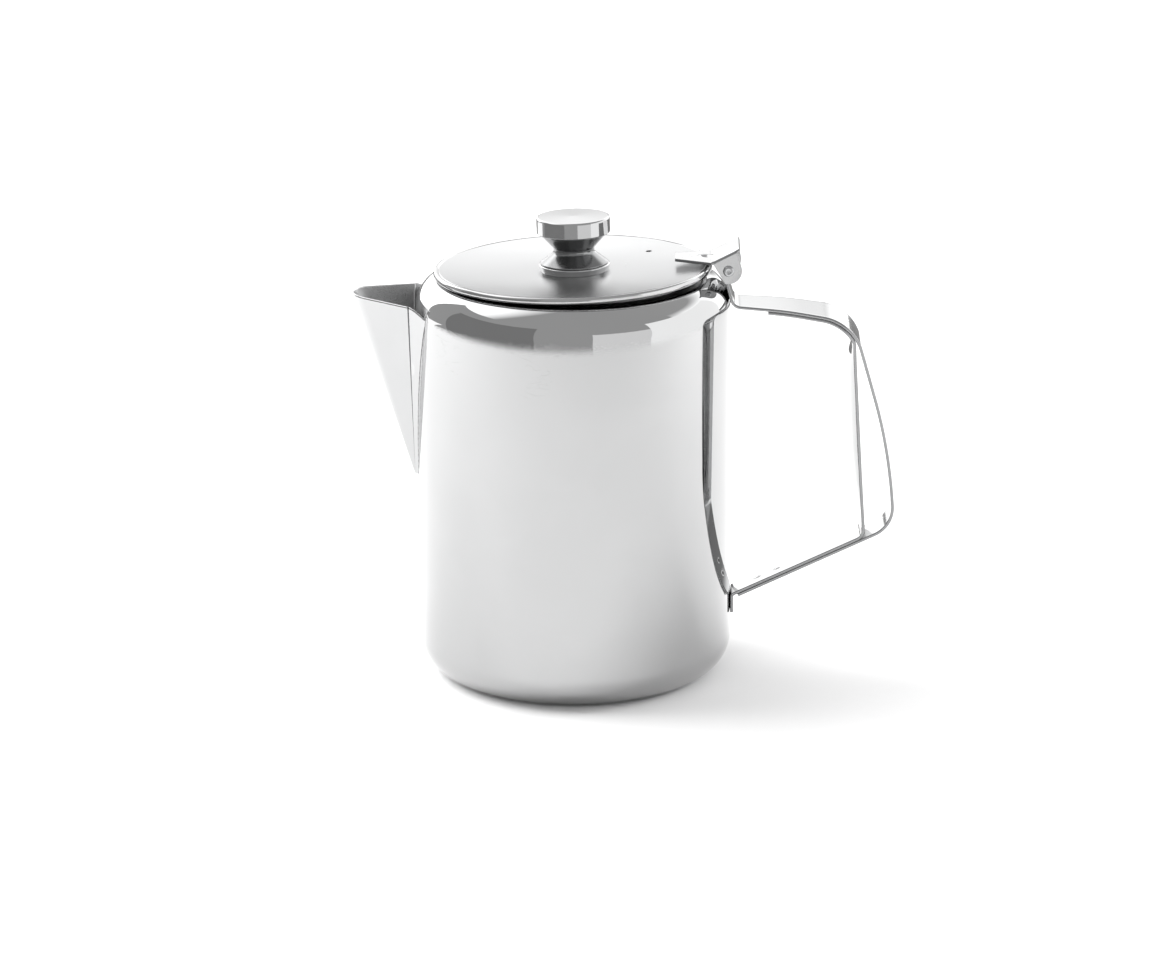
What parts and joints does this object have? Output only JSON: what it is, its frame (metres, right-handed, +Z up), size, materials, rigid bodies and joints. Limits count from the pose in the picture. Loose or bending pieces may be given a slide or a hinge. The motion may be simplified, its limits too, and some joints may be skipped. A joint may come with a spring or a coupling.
{
  "type": "teapot",
  "caption": "Cylindrical polished steel teapot with a hinged lid, a waisted knob, a welded V-shaped beak spout over a strainer and a bent strap handle.",
  "frame": {"origin": "centre of the base, on the surface the pot stands on", "axes": "+Z up, +X from the body towards the handle, spout along -X, mirror plane XZ"},
  "size_m": [0.2073, 0.12, 0.1787],
  "materials": {
    "body_steel": "bright mirror-polished stainless steel with light wear",
    "spout_steel": "bright polished stainless steel, satin inside",
    "lid_steel": "fine satin on the cover, polished hem",
    "knob_steel": "bright polished stainless steel",
    "handle_steel": "bright polished stainless sheet with dressed edges",
    "hinge_steel": "polished stainless sheet",
    "fixing_steel": "plain turned stainless steel"
  },
  "bodies": {
    "pot": {"body_shell": "body_steel", "spout": "spout_steel", "handle_outer_strap": "handle_steel", "handle_inner_strap": "handle_steel"},
    "lid": {"lid_cover": "lid_steel", "lid_locating_ring": "lid_steel", "knob_foot_ring": "knob_steel", "knob_body": "knob_steel", "knob_cap": "knob_steel", "knob_screw": "fixing_steel", "knob_washer": "fixing_steel", "hinge_leaf": "hinge_steel", "hinge_pin": "fixing_steel"}
  },
  "joints": [
    {"name": "lid_hinge", "type": "hinge", "parent": "pot", "child": "lid", "pos_m": [0.059, 0, 0.1593], "axis": [0, 1, 0], "range_deg": [0, 110]}
  ]
}
